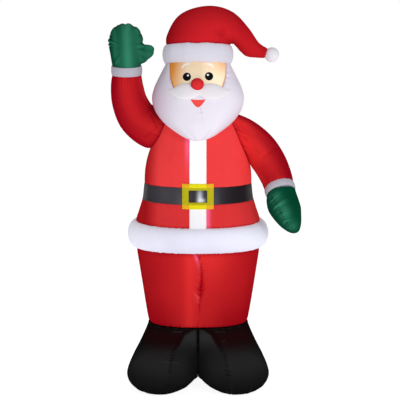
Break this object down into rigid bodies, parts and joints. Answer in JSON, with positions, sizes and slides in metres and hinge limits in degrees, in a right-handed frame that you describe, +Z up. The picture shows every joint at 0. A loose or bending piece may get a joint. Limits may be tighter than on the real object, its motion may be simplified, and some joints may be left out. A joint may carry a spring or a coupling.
{
  "type": "inflatable santa",
  "caption": "Air-filled cloth Santa for the garden, standing on its boots with one hand raised in a wave and a soft hat that falls to one side.",
  "frame": {"origin": "on the ground, under the middle of the bounding box", "axes": "+Z up, the figure faces -Y, its own left hand is at +X"},
  "size_m": [1.1944, 0.8026, 2.4396],
  "materials": {
    "red_cloth": "satin woven nylon, lit from inside",
    "white_cloth": "satin woven nylon, lit from inside",
    "black_cloth": "satin woven nylon, lit from inside",
    "green_cloth": "satin woven nylon, lit from inside",
    "yellow_cloth": "satin woven nylon, lit from inside",
    "skin_cloth": "satin woven nylon, lit from inside",
    "nose_cloth": "satin woven nylon, lit from inside"
  },
  "bodies": {
    "root": {"right_boot": "black_cloth", "left_boot": "black_cloth", "trousers": "red_cloth", "coat_hem": "white_cloth", "coat_skirt": "red_cloth", "belt": "black_cloth", "coat_body": "red_cloth", "beard_and_hair": "white_cloth", "face": "skin_cloth", "nose": "nose_cloth", "moustache": "white_cloth", "placket_low": "white_cloth", "placket_high": "white_cloth", "buckle": "yellow_cloth", "hat_band": "white_cloth", "hat": "red_cloth", "pompom": "white_cloth", "right_sleeve": "red_cloth", "left_sleeve": "red_cloth", "right_cuff": "white_cloth", "left_cuff": "white_cloth", "right_mitten": "green_cloth", "left_mitten": "green_cloth"}
  },
  "joints": []
}
